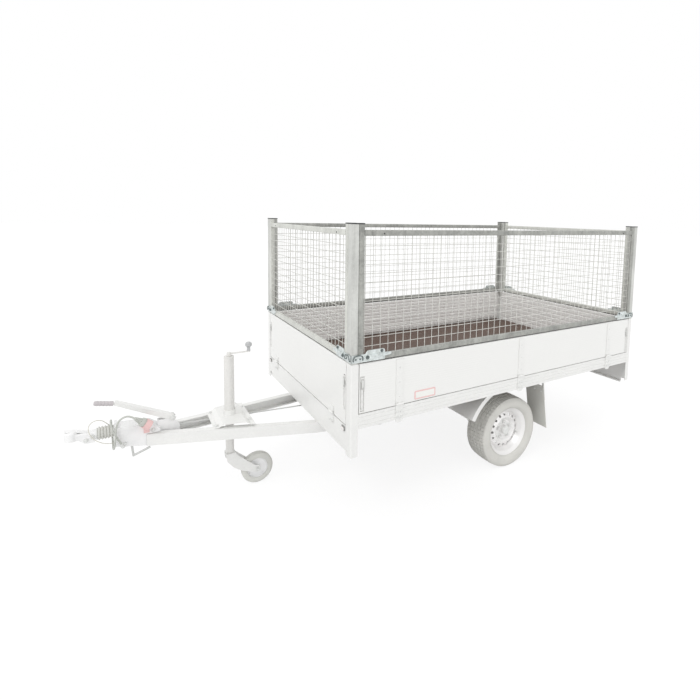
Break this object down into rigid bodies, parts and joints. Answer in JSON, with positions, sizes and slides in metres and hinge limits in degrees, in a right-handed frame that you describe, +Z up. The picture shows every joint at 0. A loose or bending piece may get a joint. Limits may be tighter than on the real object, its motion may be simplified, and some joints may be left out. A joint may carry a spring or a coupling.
{
  "type": "utility trailer with mesh sides",
  "caption": "Single-axle braked utility trailer with drop boards, a removable mesh cage, a V drawbar with ball coupling, and a crank jockey wheel.",
  "frame": {"origin": "middle of the whole trailer on the ground", "axes": "+X forward to the coupling, +Y to the left side, +Z up"},
  "size_m": [3.881, 1.612, 1.7233],
  "materials": {
    "black_plastic": "moulded plastic",
    "black_rubber": "matt rubber",
    "board_metal": "pale coated sheet, satin",
    "cable_sheath": "cable sheath",
    "cage_mesh": "hot-dip galvanised welded mesh",
    "cast_grey": "zinc coated casting",
    "galvanised": "pale galvanised steel, satin",
    "lamp_plastic": "lamp lens",
    "plate_blank": "blank plate",
    "plywood": "brown film-faced plywood",
    "red_plastic": "plug cap",
    "rim_silver": "silver lacquered steel",
    "solid_rubber": "solid rubber",
    "steel_rope": "thin steel rope in a clear sleeve",
    "tyre": "road tyre rubber",
    "zinc": "bluish zinc plate"
  },
  "bodies": {
    "frame": {"axle_beam": "galvanised", "axle_brackets": "galvanised", "bellows": "black_rubber", "breakaway_cable": "steel_rope", "cable_gland": "black_plastic", "cage_posts": "galvanised", "clamp_bridge": "galvanised", "corner_fittings": "zinc", "corner_posts": "galvanised", "coupling_head": "zinc", "cross_members": "galvanised", "draw_rods": "zinc", "drawbar_leg_left": "galvanised", "drawbar_leg_right": "galvanised", "electric_cable": "cable_sheath", "floor_panel": "plywood", "front_beam": "galvanised", "hinge_leaves": "zinc", "jockey_outer_tube": "galvanised", "lamps": "lamp_plastic", "mesh_front": "cage_mesh", "mesh_left": "cage_mesh", "mesh_rear": "cage_mesh", "mesh_right": "cage_mesh", "mudflaps": "black_rubber", "mudguards": "galvanised", "number_plate": "plate_blank", "overrun_housing": "cast_grey", "plug": "black_plastic", "plug_holder": "red_plastic", "post_caps": "black_plastic", "rear_beam": "galvanised", "runners": "galvanised", "side_rail_left": "galvanised", "side_rail_right": "galvanised", "trailing_arms": "galvanised"},
    "wheel_left": {"tyre_left": "tyre", "rim_left": "rim_silver"},
    "wheel_right": {"tyre_right": "tyre", "rim_right": "rim_silver"},
    "board_left": {"board_left": "board_metal", "fittings_left": "zinc"},
    "board_right": {"board_right": "board_metal", "fittings_right": "zinc"},
    "board_front": {"board_front": "board_metal", "fittings_front": "zinc"},
    "board_rear": {"board_rear": "board_metal", "fittings_rear": "zinc"},
    "jockey_tube": {"jockey_inner_tube": "zinc"},
    "jockey_caster": {"jockey_fork": "zinc"},
    "jockey_wheel": {"jockey_tyre": "solid_rubber", "jockey_rim": "rim_silver"},
    "crank": {"crank": "zinc", "crank_knob": "black_plastic"},
    "brake_lever": {"brake_lever": "zinc", "lever_grip": "black_plastic"}
  },
  "joints": [
    {"name": "wheel_left_spin", "type": "hinge", "parent": "frame", "child": "wheel_left", "pos_m": [-0.6445, 0.624, 0.25], "axis": [0, 1, 0], "continuous": true},
    {"name": "wheel_right_spin", "type": "hinge", "parent": "frame", "child": "wheel_right", "pos_m": [-0.6445, -0.624, 0.25], "axis": [0, 1, 0], "continuous": true},
    {"name": "board_left_drop", "type": "hinge", "parent": "frame", "child": "board_left", "pos_m": [-0.6445, 0.799, 0.69], "axis": [-1, 0, 0], "range_deg": [0, 180]},
    {"name": "board_right_drop", "type": "hinge", "parent": "frame", "child": "board_right", "pos_m": [-0.6445, -0.799, 0.69], "axis": [1, 0, 0], "range_deg": [0, 180]},
    {"name": "board_front_drop", "type": "hinge", "parent": "frame", "child": "board_front", "pos_m": [0.6445, 0, 0.614], "axis": [0, 1, 0], "range_deg": [0, 110]},
    {"name": "board_rear_drop", "type": "hinge", "parent": "frame", "child": "board_rear", "pos_m": [-1.9335, 0, 0.614], "axis": [0, -1, 0], "range_deg": [0, 180]},
    {"name": "jockey_lift", "type": "slide", "parent": "frame", "child": "jockey_tube", "axis": [0, 0, 1], "range_m": [0, 0.19]},
    {"name": "jockey_swivel", "type": "hinge", "parent": "jockey_tube", "child": "jockey_caster", "pos_m": [1.1005, 0, 0.245], "axis": [0, 0, 1], "continuous": true},
    {"name": "jockey_wheel_spin", "type": "hinge", "parent": "jockey_caster", "child": "jockey_wheel", "pos_m": [0.9335, 0, 0.1], "axis": [0, 1, 0], "continuous": true},
    {"name": "crank_turn", "type": "hinge", "parent": "frame", "child": "crank", "pos_m": [1.1005, 0, 0.868], "axis": [0, 0, 1], "continuous": true},
    {"name": "brake_lever_pull", "type": "hinge", "parent": "frame", "child": "brake_lever", "pos_m": [1.4245, 0, 0.55], "axis": [0, -1, 0], "range_deg": [0, 70]}
  ]
}
